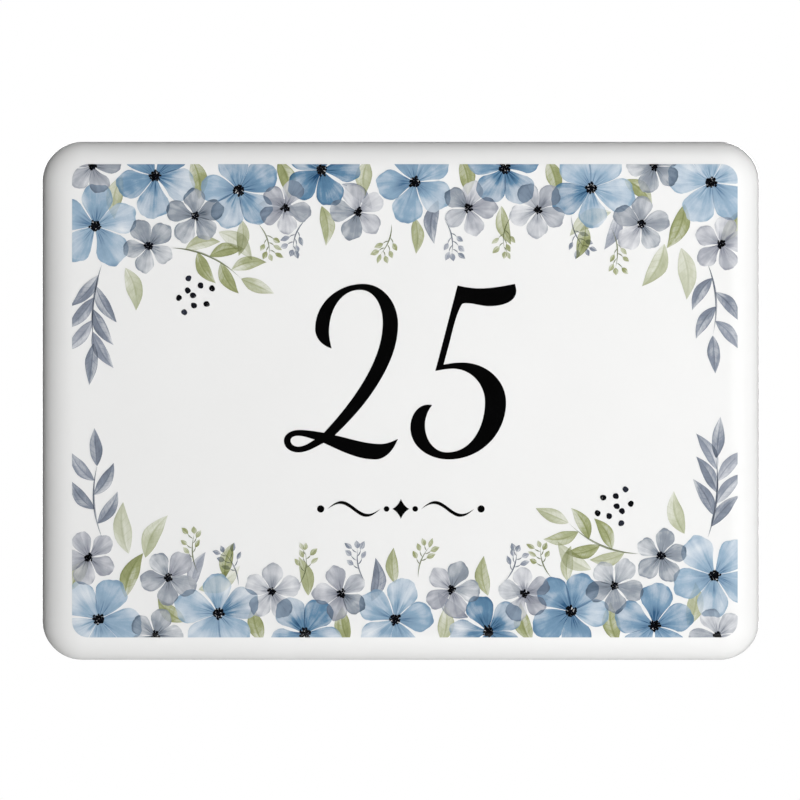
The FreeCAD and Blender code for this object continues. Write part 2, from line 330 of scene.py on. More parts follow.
# spacing of the specks, share of the places that have one, largest radius
GROUND_PEPPER = (0.5, 0.4, 0.20)
GROUND_DROPS = (3.4, 0.12, 0.45)

# Stage, lamps and camera, in metres
FLOOR_DROP = 0.35           # from the middle of the plaque down to the floor
FLOOR_REACH = 1.3
FLOOR_TONE = colour("f0f0ef")
FLOOR_TONE_DEEP = colour("ebebea")
FLOOR_PALENESS = 0.85
FLOOR_CLOUD = 60.0          # millimetres
ROOM_TONE = (0.045, 0.045, 0.046, 1.0)
AT_PLAQUE = (0, 0, 0)
# The key's fill stands a little behind it and doesn't glint.
# name, place, where it points, width, height, strength, whether it glints in the enamel
LAMPS = [
    ("key_softbox", (0.56, -1.10, 0.50), AT_PLAQUE, 0.84, 1.8, 3.6, True),
    ("key_fill", (0.57, -1.13, 0.52), AT_PLAQUE, 0.84, 1.8, 6.1, False),
    ("top_fill", (0.0, -0.90, 1.10), AT_PLAQUE, 0.6, 0.6, 3.1, False),
    ("low_fill", (0.26, -0.60, -0.34), (0.26, -0.60, 0), 0.6, 0.5, 5.5, False),
    ("left_rear_softbox", (-0.8, 2.8, 0.45), AT_PLAQUE, 1.0, 1.4, 14.0, True),
    ("right_rear_softbox", (0.8, 2.8, 0.45), AT_PLAQUE, 1.0, 1.4, 40.0, True),
]
PHOTO_SIZE = 800            # pixels
PLAQUE_PIXEL = (400.9, 400.8)   # middle of the plaque in the photograph
VIEW_WIDTH = 200.5          # millimetres across the photograph, at the face
SENSOR_WIDTH = 36.0
CAMERA_DISTANCE = 3.0

# Share of a lower mark's colour that shows through the mark over it
LEAF_UNDER_PETAL = 0.25
LIKE_UNDER_LIKE = 0.75


# Brush marks, drawn flat

def toward(point, degrees, distance):
    """Point at a distance from another, in a direction in the plane of the face."""
    angle = math.radians(degrees)
    return point + Vector((math.cos(angle), math.sin(angle))) * distance


def in_garland(along, depth):
    return field_middle + Vector((along / 100 * field_width / 2, field_height / 2 - depth))


def bow(bend, share):
    """Sideways place of a bent line, as a share of its length."""
    return 4 * bend * share * (1 - share)


def on_stem(base, length, direction, bend, share):
    """Point of a bent line at a share of its length."""
    return toward(toward(base, direction, share * length), direction + 90, bow(bend, share) * length)


def by_turns(number):
    """Side of a stem on which a leaf or bud stands: 0 for the one at its end, then 1 and -1 by turns."""
    return 0 if number == 0 else (1 if number % 2 else -1)


class Mark:
    """One mark of the print: its outline, its tone, and the frame and form that its shading follows."""

    kind = "ink"

    def __init__(self, outline, tone, origin, direction, unit, form=(0, 0, 0)):
        self.outline = outline
        self.tone = tone
        self.origin = origin
        self.direction = direction
        self.unit = unit
        self.form = form
        self.seed = chance.random()

    def place(self, point):
        """Where a point lies in the mark, along it and aside, with the mark's own number."""
        away = point - self.origin
        angle = math.radians(self.direction)
        axis = Vector((math.cos(angle), math.sin(angle)))
        side = Vector((-axis.y, axis.x))
        return (away.dot(axis) / self.unit, away.dot(side) / self.unit, self.seed)

    def turned(self):
        """The mark, turned half round about the middle of the field."""
        outline = [2 * field_middle - point for point in self.outline]
        origin = 2 * field_middle - self.origin
        return Mark(outline, self.tone, origin, self.direction + 180, self.unit, self.form)


def petal_side(middle, direction, half_turn, foot, notch, side):
    """One side of a petal, from the eye to the notch, a little off a straight line."""
    gap = chance.uniform(*PETAL_GAP) / 2
    sway = chance.uniform(-PETAL_SWAY, PETAL_SWAY)
    points = []
    for step in range(PETAL_SIDE_POINTS + 1):
        share = step / PETAL_SIDE_POINTS
        out = foot + (notch - foot) * share
        clear = gap * (FOOT_GAP + (1 - FOOT_GAP) * share) + bow(sway, share)
        points.append(toward(middle, direction + side * (half_turn - math.degrees(clear / out)), out))
    return points, half_turn - math.degrees(gap / notch)


def petal(middle, radius, direction, tone):
    """Petal of an open flower, broad at its tip, its sides running in to the eye."""
    direction += chance.uniform(*PETAL_TURN)
    reach = radius * chance.uniform(*PETAL_REACH)
    fullness = chance.uniform(*PETAL_FULLNESS)
    half_turn = 180 / PETALS + chance.uniform(*PETAL_SPREAD)
    foot, notch = PETAL_FOOT * radius, NOTCH_SHARE * reach
    right, right_spread = petal_side(middle, direction, half_turn, foot, notch, -1)
    left, left_spread = petal_side(middle, direction, half_turn, foot, notch, 1)
    waves = [(count, chance.uniform(0, 2 * math.pi), height) for count, height in PETAL_WAVES]
    rim = []
    for step in range(1, PETAL_RIM_POINTS):
        swing = 2 * step / PETAL_RIM_POINTS - 1
        swell = math.cos(math.pi / 2 * swing) ** fullness
        ripple = sum(height * math.sin(count * math.pi * swing + phase) for count, phase, height in waves)
        out = reach * (NOTCH_SHARE + (1 - NOTCH_SHARE) * swell) * (1 + ripple * (1 - swing ** 4))
        spread = left_spread if swing > 0 else right_spread
        rim.append(toward(middle, direction + spread * swing, out))
    form = (math.radians(left_spread + right_spread) / 2, fullness, reach / radius)
    return Mark(right + rim + left[::-1], tone, middle, direction, radius, form)


def blossom(along, depth, radius, turn, tones):
    """Open flower whose petals mostly share one tone."""
    tone = chance.choice(tones)
    middle = in_garland(along, depth)
    petals = []
    for number in range(PETALS):
        own = tone if chance.random() < SAME_TONE_SHARE else chance.choice(tones)
        petals.append(petal(middle, radius, turn + 360 / PETALS * number, own))
    return petals


def blossoms(places, tones):
    return [mark for place in places for mark in blossom(*place, tones)]


def blot(middle, radius, points, tone, raggedness):
    """Small round mark with an uneven edge."""
    waves = [(count, chance.uniform(0, 2 * math.pi), raggedness / count) for count in BLOT_WAVES]
    outline = []
    for step in range(points):
        angle = 2 * math.pi * step / points
        ripple = sum(height * math.sin(count * angle + phase) for count, phase, height in waves)
        outline.append(toward(middle, math.degrees(angle), radius * (1 + ripple)))
    return Mark(outline, tone, middle, 0, radius)


def specks(places, radius):
    """Eyes of the blossoms, each a cluster of specks set as seeds are in a seed head."""
    marks = []
    count = round(math.pi * radius ** 2 / SPECK_AREA)
    for along, depth, _, turn in places:
        middle = in_garland(along, depth)
        for number in range(count):
            out = radius * math.sqrt((number + 0.5) / count) * chance.uniform(*SPECK_SPREAD)
            place = toward(middle, turn + GOLDEN_TURN * number + chance.uniform(*SPECK_TURN), out)
            size = chance.uniform(*SPECK_RADIUS)
            marks.append(blot(place, size, SPECK_POINTS, chance.choice(SPECK_TONES), SPECK_RAGGEDNESS))
    return marks


def leaf(base, length, width, direction, bend, tone):
    """Pointed leaf, curved sideways by its bend."""
    waves = [(count, chance.uniform(0, 2 * math.pi), LEAF_RAGGEDNESS / count) for count in LEAF_WAVES]
    left, right = [], []
    for step in range(1, LEAF_POINTS):
        share = (1 - math.cos(math.pi * step / LEAF_POINTS)) / 2
        rib = on_stem(base, length, direction, bend, share)
        half = width / 2 * math.sin(math.pi * share ** LEAF_LEAD)
        ripple = sum(height * math.sin(count * math.pi * share + phase) for count, phase, height in waves)
        left.append(toward(rib, direction + 90, half * (1 + ripple)))
        right.append(toward(rib, direction - 90, half * (1 - ripple)))
    outline = [base] + right + [toward(base, direction, length)] + left[::-1]
    return Mark(outline, tone, base, direction, length, (bend, width / length, 0))


def leaves(places, tones):
    return [leaf(in_garland(along, depth), *form, chance.choice(tones)) for along, depth, *form in places]


def sprig(count, along, depth, direction, length, bend, leaf_length, leaf_width, tones, stem_tone):
    """Curved stem with a leaf at its end and others by turns on its two sides."""
    base = in_garland(along, depth)
    marks = [leaf(base, length, STEM_WIDTH, direction, bend, stem_tone)]
    for place in range(count):
        share = 1 - place / count
        foot = on_stem(base, length, direction, bend, share)
        side = by_turns(place)
        lean = direction + side * LEAF_LEAN
        marks.append(leaf(foot, leaf_length, leaf_width, lean, side * bend, chance.choice(tones)))
    return marks


def twig(along, depth, direction, length, bend, tones, stem_tone):
    """Thin stem with a bud at its end and buds on short stalks by turns on its two sides."""
    base = in_garland(along, depth)
    marks = [leaf(base, length, TWIG_WIDTH, direction, bend, stem_tone)]
    for number in range(TWIG_BUDS):
        share = 1 - TWIG_BUDDED * number / TWIG_BUDS
        foot = on_stem(base, length, direction, bend, share)
        side = by_turns(number)
        lean = direction + side * chance.uniform(*BUD_LEAN)
        stalk = abs(side) * chance.uniform(*STALK_LENGTH)
        if side:
            marks.append(leaf(foot, stalk, STALK_WIDTH, lean, STALK_BEND * side, stem_tone))
        bud = toward(foot, lean, stalk * BUD_FOOT)
        length_and_width = chance.uniform(*BUD_LENGTH), chance.uniform(*BUD_WIDTH)
        marks.append(leaf(bud, *length_and_width, lean, 0, chance.choice(tones)))
    return marks


def twigs(places, tones, stem_tone):
    return [mark for place in places for mark in twig(*place, tones, stem_tone)]


def berries():
    along, depth = GREEN_SPRIG[:2]
    middle = toward(in_garland(along, depth), BERRIES_DIRECTION, BERRIES_DISTANCE)
    marks = []
    for number in range(BERRIES):
        place = toward(middle, GOLDEN_TURN * number, BERRY_SPACING * math.sqrt(number))
        marks.append(blot(place, BERRY_RADIUS, BERRY_POINTS, chance.choice(BERRY_TONES), BERRY_RAGGEDNESS))
    return marks


def in_both_bands(marks, kind):
    """Marks of the upper garland and of the lower one, each told its kind."""
    both = marks + [mark.turned() for mark in marks]
    for mark in both:
        mark.kind = kind
    return both


# Lettering

def handle_share(near, far):
    """Length of a curve's handle as a share of its chord, from the curve's angles to it."""
    flare = (math.sin(near) - math.sin(far) / 16) * (math.sin(far) - math.sin(near) / 16)
    fullness = 2 + math.sqrt(2) * flare * (math.cos(near) - math.cos(far))
    golden = (math.sqrt(5) - 1) / 2
    return fullness / (3 * (1 + golden * math.cos(near) + (1 - golden) * math.cos(far)))


def pen_curve(start, leaving, end, arriving):
    """Points of a smooth edge between two points in the given directions, as a pen would draw it."""
    run = end - start
    chord = math.degrees(math.atan2(run.y, run.x))
    near = math.radians((leaving - chord + 180) % 360 - 180)
    far = math.radians((chord - arriving + 180) % 360 - 180)
    first = toward(start, leaving, handle_share(near, far) * run.length)
    second = toward(end, arriving + 180, handle_share(far, near) * run.length)
    return interpolate_bezier(start, first, second, end, CURVE_POINTS + 1)[:-1]


def pen_outline(nodes, left, base):
    unit = NUMERAL_HEIGHT / 100
    outline = []
    for node, following in zip(nodes, nodes[1:] + nodes[:1]):
        start = Vector((left + node[0] * unit, base + node[1] * unit))
        end = Vector((left + following[0] * unit, base + following[1] * unit))
        outline += pen_curve(start, node[-1], end, following[2])
    return outline


def ink(outline):
    """Mark in plain black."""
    return Mark(outline, INK, Vector((0, 0)), 0, NUMERAL_HEIGHT)


def numerals():
    """Outlines of the 2 and the 5, and of the opening in the 2."""
    widths = [NUMERAL_HEIGHT / 100 * max(node[0] for node in nodes) for nodes in (NUMERAL_2, NUMERAL_5)]
    left = NUMERALS_X - (sum(widths) + NUMERAL_GAP) / 2
    two = ink(pen_outline(NUMERAL_2, left, NUMERAL_BASE_Z))
    five = ink(pen_outline(NUMERAL_5, left + widths[0] + NUMERAL_GAP, NUMERAL_BASE_Z))
    return [two, five], [pen_outline(NUMERAL_2_LOOP, left, NUMERAL_BASE_Z)]


def waved_stroke(start, end):
    """Stroke between two points at one height, swinging up and then down, pointed at both ends."""
    upper, lower = [], []
    for step in range(1, STROKE_POINTS):
        share = step / STROKE_POINTS
        rib = start.lerp(end, share)
        swing = STROKE_WAVE * math.sin(2 * math.pi * share)
        half = STROKE_WIDTH / 2 * math.sin(math.pi * share)
        upper.append(toward(rib, 90, swing + half))
        lower.append(toward(rib, 90, swing - half))
    return [start] + lower + [end] + upper[::-1]


def lozenge(middle):
    """Lozenge whose sides curve in a little."""
    reaches = [LOZENGE_WIDTH / 2, LOZENGE_HEIGHT / 2] * 2
    corners = [toward(middle, 90 * side, reach) for side, reach in enumerate(reaches)]
    outline = []
    for corner, following in zip(corners, corners[1:] + corners[:1]):
        for step in range(LOZENGE_POINTS):
            share = step / LOZENGE_POINTS
            pinch = (middle - corner.lerp(following, 0.5)).normalized() * bow(LOZENGE_PINCH, share)
            outline.append(corner.lerp(following, share) + pinch)
    return outline


def dot(middle, radius):
    return [toward(middle, 360 / DOT_POINTS * step, radius) for step in range(DOT_POINTS)]


def flourish():
    """Lozenge, and on both sides a dot, a waved stroke and a dot."""
    middle = Vector((0, FLOURISH_Z))
    inner_dot = LOZENGE_WIDTH / 2 + STROKE_GAP + INNER_DOT_RADIUS
    outer_dot = FLOURISH_LENGTH / 2 - OUTER_DOT_RADIUS
    stroke_start = inner_dot + INNER_DOT_RADIUS + STROKE_GAP
    stroke_end = outer_dot - OUTER_DOT_RADIUS - STROKE_GAP
    right = [
        dot(toward(middle, 0, inner_dot), INNER_DOT_RADIUS),
        waved_stroke(toward(middle, 0, stroke_start), toward(middle, 0, stroke_end)),
        dot(toward(middle, 0, outer_dot), OUTER_DOT_RADIUS),
    ]
    left = [[2 * middle - point for point in outline] for outline in right]
    return [ink(outline) for outline in [lozenge(middle)] + right + left]


# From marks to printed pieces

def rounded_outline(middle, width, height, corner):
    """Rectangle with round corners."""
    outline = []
    for quarter, (right, up) in enumerate([(1, 1), (-1, 1), (-1, -1), (1, -1)]):
        turning_point = middle + Vector((right * (width / 2 - corner), up * (height / 2 - corner)))
        for step in range(CORNER_POINTS + 1):
            outline.append(toward(turning_point, 90 * (quarter + step / CORNER_POINTS), corner))
    return outline


def bend_ring(inside):
    """Line round the plate at a distance inside its edge."""
    return rounded_outline(Vector((0, 0)), plate_width - 2 * inside, plate_height - 2 * inside,
                           CORNER_RADIUS - inside)


def set_back(point):
    """How far the bent margin of the face lies behind its flat."""
    sides = (plate_width, plate_height)
    beyond = [abs(part) - side / 2 + CORNER_RADIUS for part, side in zip(point, sides)]
    outward = math.hypot(*beyond) if min(beyond) > 0 else max(beyond)
    bent = max(0, 1 - (CORNER_RADIUS - outward) / ROLL_WIDTH)
    return ROLL_DEPTH * (1 - math.sqrt(1 - bent ** 2))


def printed_fields(marks, openings=()):
    """Triangles of the plane that the marks cover inside the printed field.

    Each is three points and the marks over it, the uppermost first, which is the first in the list.
    """
    window = len(marks)
    field = rounded_outline(field_middle, field_width, field_height, FIELD_CORNER)
    outlines = [mark.outline for mark in marks] + [field, *openings]
    points, loops = [], []
    for outline in outlines:
        turning = sum(near.cross(far) for near, far in zip(outline, outline[1:] + outline[:1]))
        loops.append(list(range(len(points), len(points) + len(outline))))
        points += outline if turning > 0 else outline[::-1]
    bends = []
    for number in range(BEND_RINGS):
        ring = bend_ring(FIELD_MARGIN_TOP + (ROLL_WIDTH - FIELD_MARGIN_TOP) * number / (BEND_RINGS - 1))
        numbers = list(range(len(points), len(points) + len(ring)))
        bends += zip(numbers, numbers[1:] + numbers[:1])
        points += ring
    corners, _, faces, _, _, owners = delaunay_2d_cdt(points, bends, loops, 1, SMALLEST_SPAN, True)
    fields = []
    for face, covering in zip(faces, owners):
        over = sorted(set(covering))
        if window in over and over[0] < window and over[-1] == window:
            fields.append(([corners[corner] for corner in face], [marks[number] for number in over[:-1]]))
    return fields


def shown_through(upper, lower):
    """Colour of a mark as it shows through the mark over it."""
    share = LEAF_UNDER_PETAL if "leaves" in lower.kind and "blossoms" in upper.kind else LIKE_UNDER_LIKE
    return tuple(1 - share * (1 - part) for part in lower.tone[:3]) + (1.0,)


def printed_piece(name, fields, back, finish):
    """Thin closed piece of print, its corners knowing their place in the mark that they belong to."""
    mesh = bmesh.new()
    place_layer = mesh.loops.layers.float_vector.new("place")
    form_layer = mesh.loops.layers.float_vector.new("form")
    tone_layer = mesh.loops.layers.float_color.new("tone")
    under_layer = mesh.loops.layers.float_color.new("under")
    known = {}
    for corners, over in fields:
        for corner in corners:
            if corner.freeze() not in known:
                depth = back - PRINT_THICKNESS + set_back(corner)
                known[corner] = mesh.verts.new((corner.x, depth, corner.y))
        face = mesh.faces.new([known[corner] for corner in corners])
        top = over[0]
        under = shown_through(top, over[1]) if len(over) > 1 else WHITE
        for loop, corner in zip(face.loops, corners):
            loop[place_layer] = top.place(corner)
            loop[form_layer] = top.form
            loop[tone_layer] = top.tone
            loop[under_layer] = under
    grown = bmesh.ops.extrude_face_region(mesh, geom=mesh.faces[:], use_keep_orig=True)
    backs = [part for part in grown["geom"] if isinstance(part, bmesh.types.BMVert)]
    bmesh.ops.translate(mesh, vec=(0, PRINT_THICKNESS, 0), verts=backs)
    bmesh.ops.recalc_face_normals(mesh, faces=mesh.faces)
    bmesh.ops.scale(mesh, vec=(MM, MM, MM), verts=mesh.verts)
    for face in mesh.faces:
        face.smooth = True
    for edge in mesh.edges:
        edge.smooth = edge.calc_face_angle(math.pi) < SHARPEST_BEND
    lay_map(mesh)
    return piece(name, mesh, [finish])


def lay_map(mesh):
    """Flat map of the printed field, straight from the front."""
    layer = mesh.loops.layers.uv.new("OFBake")
    low = field_middle - Vector((field_width, field_height)) / 2
    for face in mesh.faces:
        for loop in face.loops:
            x, _, z = loop.vert.co / MM
            loop[layer].uv = ((x - low.x) / field_width, (z - low.y) / field_height)


def piece(name, mesh, finishes):
    """Object from a finished bmesh, with its materials."""
    data = bpy.data.meshes.new(name)
    mesh.to_mesh(data)
    mesh.free()
    for finish in finishes:
        data.materials.append(finish)
    made = bpy.data.objects.new(name, data)
    bpy.context.scene.collection.objects.link(made)
    return made


# Plate

def on_level(part, height):
    """Whether all of an edge or face lies at a height over the wall plane, as the plate lies flat."""
    return all(abs(vertex.co.z - height) < LEVEL_TOLERANCE for vertex in part.verts)


def pressed_plate():
    """Tray of even thickness, open to the wall, made lying on its back and then stood up."""
    mesh = bmesh.new()
    bmesh.ops.create_grid(mesh, x_segments=1, y_segments=1, size=0.5)
    bmesh.ops.scale(mesh, vec=(plate_width, plate_height, 1), verts=mesh.verts)
    bmesh.ops.bevel(mesh, geom=mesh.verts[:], offset=CORNER_RADIUS, offset_type="OFFSET",
                    segments=CORNER_SEGMENTS, profile=0.5, affect="VERTICES", material=-1)
    grown = bmesh.ops.extrude_face_region(mesh, geom=mesh.faces[:], use_keep_orig=True)
    raised = [part for part in grown["geom"] if isinstance(part, bmesh.types.BMVert)]
    flange = plate_depth - ROLL_DEPTH
    bmesh.ops.translate(mesh, vec=(0, 0, flange + ROLL_WIDTH), verts=raised)
    bmesh.ops.recalc_face_normals(mesh, faces=mesh.faces)
    crease = [edge for edge in mesh.edges if on_level(edge, flange + ROLL_WIDTH)]
    bmesh.ops.bevel(mesh, geom=crease, offset=ROLL_WIDTH, offset_type="OFFSET",
                    segments=ROLL_SEGMENTS, profile=0.5, affect="EDGES", material=-1)
    bend = [vertex for vertex in mesh.verts if vertex.co.z > flange]
    bmesh.ops.scale(mesh, vec=(1, 1, ROLL_DEPTH / ROLL_WIDTH), verts=bend,
                    space=Matrix.Translation((0, 0, -flange)))
    back = [face for face in mesh.faces if on_level(face, 0)]
    bmesh.ops.delete(mesh, geom=back, context="FACES_ONLY")
    outside = set(mesh.faces)
    bmesh.ops.solidify(mesh, geom=mesh.faces[:], thickness=SHEET)
    for face in mesh.faces:
        face.material_index = 0 if face in outside or on_level(face, 0) else 1
    rim = [edge for edge in mesh.edges if on_level(edge, 0) and edge.calc_face_angle() > math.pi / 4]
    bmesh.ops.bevel(mesh, geom=rim, offset=RIM_RADIUS, offset_type="OFFSET",
                    segments=RIM_SEGMENTS, profile=0.5, affect="EDGES", material=-1)
    level = [face for face in mesh.faces if abs(face.normal.z) > FLAT_NORMAL]
    broad = [face for face in level if face.calc_area() > plate_width]
    bmesh.ops.inset_individual(mesh, faces=broad, thickness=FLAT_MARGIN)
    bmesh.ops.rotate(mesh, matrix=Matrix.Rotation(math.pi / 2, 3, "X"), verts=mesh.verts)
    bmesh.ops.scale(mesh, vec=(MM, MM, MM), verts=mesh.verts)
    for face in mesh.faces:
        face.smooth = True
    return mesh


# Finishes

class Value:
    """A value in a finish, on which arithmetic adds Math nodes."""

    def __init__(self, finish, socket):
        self.finish = finish
        self.socket = socket

    def __add__(self, other):
        return self.finish.math("ADD", self, other)

    def __sub__(self, other):
        return self.finish.math("SUBTRACT", self, other)

    def __rsub__(self, other):
        return self.finish.math("SUBTRACT", other, self)

    def __mul__(self, other):
        return self.finish.math("MULTIPLY", self, other)

    def __truediv__(self, other):
        return self.finish.math("DIVIDE", self, other)

    def __pow__(self, other):
        return self.finish.math("POWER", self, other)

    def __abs__(self):
        return self.finish.math("ABSOLUTE", self)

    __radd__ = __add__
    __rmul__ = __mul__


class Finish:
    """The nodes of a new material, or of the world."""

    def __init__(self, owner):
        self.owner = owner
        owner.use_nodes = True
        self.tree = owner.node_tree
        self.tree.nodes.clear()

    def node(self, kind, settings, sockets, output=0):
        """Adds a node, its settings first and then its sockets' values or links, and gives an output."""
        made = self.tree.nodes.new("ShaderNode" + kind)
        for name, setting in settings.items():
            setattr(made, name, setting)
        for name, value in sockets.items():
            if isinstance(value, Value):
                self.tree.links.new(value.socket, made.inputs[name])
            else:
                made.inputs[name].default_value = value
        return Value(self, made.outputs[output])

    def math(self, operation, *values):
        return self.node("Math", {"operation": operation}, dict(enumerate(values)))

    def mix(self, share, first, second, blend="MIX"):
        """Mixed colour."""
        sockets = {0: share, 6: first, 7: second}
        return self.node("Mix", {"data_type": "RGBA", "blend_type": blend}, sockets, 2)

    def ramp(self, value, low, high):
        """Soft step from 0 at low to 1 at high."""
        return self.node("MapRange", {"interpolation_type": "SMOOTHSTEP"},
                         {"Value": value, "From Min": low, "From Max": high})

    def join(self, *parts):
        return self.node("CombineXYZ", {}, dict(enumerate(parts)))

    def parts(self, name):
        """The three numbers of an attribute of the mesh."""
        whole = self.node("Attribute", {"attribute_name": name}, {}, "Vector")
        return [self.node("SeparateXYZ", {}, {0: whole}, axis) for axis in "XYZ"]

    def tone(self, name):
        """A colour of the mesh."""
        return self.node("Attribute", {"attribute_name": name}, {}, "Color")

    def noise(self, vector, scale, detail=2.0, roughness=0.5):
        return self.node("TexNoise", {}, {"Vector": vector, "Scale": scale, "Detail": detail,
                                          "Roughness": roughness})

    def grain(self, size, detail=2.0, roughness=0.5):
        """Noise over the plaque, with features of a size in millimetres."""
        place = self.node("TexCoord", {}, {}, "Object")
        return self.noise(place, 1 / (size * MM), detail, roughness)

    def spatter(self, spacing, share, largest):
        """Round specks of all radii up to the largest, in a share of the places a spacing apart."""
        place = self.node("TexCoord", {}, {}, "Object")
        cells = {"Vector": place, "Scale": 1 / (spacing * MM)}
        away = self.node("TexVoronoi", {}, cells, "Distance")
        luck = self.node("SeparateXYZ", {}, {0: self.node("TexVoronoi", {}, cells, "Color")}, "X")
        radius = (luck - (1 - share)) * (largest / spacing / share)
        return self.ramp(radius - away, 0.0, 0.04)

    def surface(self, base, roughness, **others):
        """Closes the finish with a glossy or dull surface and gives the material."""
        sockets = {"Base Color": base, "Roughness": roughness, **others}
        return self.close(self.node("BsdfPrincipled", {}, sockets))

    def close(self, shader, output="OutputMaterial"):
        made = self.tree.nodes.new("ShaderNode" + output)
        self.tree.links.new(shader.socket, made.inputs["Surface"])
        return self.owner


def fired_normal(finish):
    """Slope of fired enamel, which lies in long low waves with a finer skin."""
    height = finish.grain(WAVE_SIZE, 1.0) + SKIN_SHARE * finish.grain(SKIN_SIZE, 1.0)
    return finish.node("Bump", {}, {"Strength": 1.0, "Distance": WAVE_HEIGHT * MM, "Height": height})


def pigment(finish, tone, strength):
    """Colour of a wash on white: bare at strength 0, its tone at 1, and its tone twice over at 2."""
    once = finish.mix(strength, WHITE, tone)
    twice = finish.mix(1.0, tone, tone, "MULTIPLY")
    return finish.mix(strength - 1, once, twice)


def printed_surface(finish, strength):
    """Wash over what shows through it, under the gloss of the firing."""
    clouds = finish.grain(WASH_CLOUD, 3.0, 0.6)
    specks_of_paint = finish.grain(PAINT_GRAIN, 2.0, 0.7)
    full = strength * (0.72 + 0.56 * clouds) + 0.22 * (specks_of_paint - 0.5)
    base = finish.mix(1.0, pigment(finish, finish.tone("tone"), full), finish.tone("under"), "MULTIPLY")
    return finish.surface(base, PRINT_ROUGHNESS + 0.04 * specks_of_paint, Normal=fired_normal(finish))


def petal_finish(name, accent):
    """Wash of a petal: streaks from the eye out, a darker foot and a thin dark line at its rim."""
    finish = Finish(bpy.data.materials.new(name))
    along, aside, seed = finish.parts("place")
    spread, fullness, reach = finish.parts("form")
    away = (along * along + aside * aside) ** 0.5
    swing = finish.math("ARCTAN2", aside, along) / spread
    swell = finish.math("MAXIMUM", finish.math("COSINE", swing * (math.pi / 2)), 0.001) ** fullness
    out = away / (reach * (NOTCH_SHARE + (1 - NOTCH_SHARE) * swell))
    streaks = finish.noise(finish.join(swing * 2.6, out * 0.8, seed * 37), 1.0, 3.0, 0.6)
    strokes = finish.noise(finish.join(swing * 4.5, out * 0.9, seed * 53 + 7), 1.0, 2.0)
    pools = finish.noise(finish.join(along * 2.2, aside * 2.2, seed * 19 + 3), 1.0, 1.0)
    foot = finish.ramp(out, 0.75, 0.05)
    lines = finish.ramp(strokes, 0.50, 0.62) * finish.ramp(out, 0.58, 0.12)
    edge = finish.ramp(out, 0.90, 0.98) * finish.ramp(pools, 0.35, 0.6)
    wash = 0.18 + 0.34 * seed + 0.9 * pools + 0.9 * (streaks - 0.5)
    strength = wash + 0.45 * foot + accent * lines + 0.3 * edge
    return printed_surface(finish, strength)


def leaf_finish(name):
    """Wash of a leaf: one half and one end deeper, a midrib and faint veins."""
    finish = Finish(bpy.data.materials.new(name))
    along, aside, seed = finish.parts("place")
    bend, slimness, _ = finish.parts("form")
    rib = 4 * bend * along * (1 - along)
    reach = finish.math("MAXIMUM", along, 0.0) ** LEAF_LEAD
    half = finish.math("MAXIMUM", finish.math("SINE", reach * math.pi), 0.02) * slimness * 0.5
    side = (aside - rib) / half
    streaks = finish.noise(finish.join(along * 3.0, side * 2.4, seed * 41), 1.0, 3.0, 0.6)
    pools = finish.noise(finish.join(along * 2.0, side * 0.8, seed * 23 + 5), 1.0, 1.0)
    midrib = finish.ramp(abs(side), 0.16, 0.04) * finish.ramp(along, 0.92, 0.6)
    rows = along * VEINS - abs(side) * VEIN_SLANT + seed
    veins = finish.ramp(finish.math("SINE", rows * (2 * math.pi)), 0.80, 1.0)
    halves = finish.ramp(side, -0.15, 0.15) - 0.5
    turn = finish.ramp(seed, 0.3, 0.7) - 0.5
    edge = finish.ramp(abs(side), 0.80, 0.98)
    wash = 0.45 + 0.95 * pools + 0.7 * (streaks - 0.5) + 0.5 * halves * turn + (along - 0.5) * turn
    strength = wash + 0.35 * midrib + 0.12 * veins + 0.2 * edge
    return printed_surface(finish, strength)


def dab_finish(name):
    """Small dab of dark paint, thinner in one place."""
    finish = Finish(bpy.data.materials.new(name))
    along, aside, seed = finish.parts("place")
    clear = finish.noise(finish.join(along * 1.4, aside * 1.4, seed * 61), 1.0, 1.0)
    return printed_surface(finish, 1.4 - 0.5 * finish.ramp(clear, 0.5, 0.75))


def ink_finish(name):
    """Plain black, laid on in one pull of the squeegee."""
    finish = Finish(bpy.data.materials.new(name))
    return printed_surface(finish, finish.grain(INK_CLOUD) * 0.3 + 1.7)


def enamel_finish(name):
    """Glossy white vitreous enamel."""
    finish = Finish(bpy.data.materials.new(name))
    clouds = finish.grain(ENAMEL_CLOUD, 1.0)
    base = finish.mix(0.2 * clouds, ENAMEL_WHITE, WHITE)
    return finish.surface(base, ENAMEL_ROUGHNESS + 0.03 * finish.grain(6.0), Normal=fired_normal(finish))


def ground_coat_finish(name):
    """Thin first coat on the back, grey, cloudy where it was sprayed, with fine dark specks."""
    finish = Finish(bpy.data.materials.new(name))
    clouds = finish.grain(GROUND_CLOUD, 4.0, 0.7)
    pepper = finish.spatter(*GROUND_PEPPER)
    drops = finish.spatter(*GROUND_DROPS)
    base = finish.mix(clouds, GROUND_COAT, GROUND_COAT_THIN)
    specked = finish.mix(0.75 * pepper, finish.mix(0.8 * drops, base, GROUND_SPECK), GROUND_SPECK)
    return finish.surface(specked, 0.14 + 0.12 * clouds, Normal=fired_normal(finish))


# Pieces, each in the place of one piece of the frame

def dress(made, node):
    """Puts a finished piece in the place of a piece of the frame."""
    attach(made, "root")
    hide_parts(node)


def sheet_finishes():
    return [enamel_finish("white_enamel"), ground_coat_finish("grey_ground_coat")]


dress(piece("enamelled_plate", pressed_plate(), sheet_finishes()), "plate")

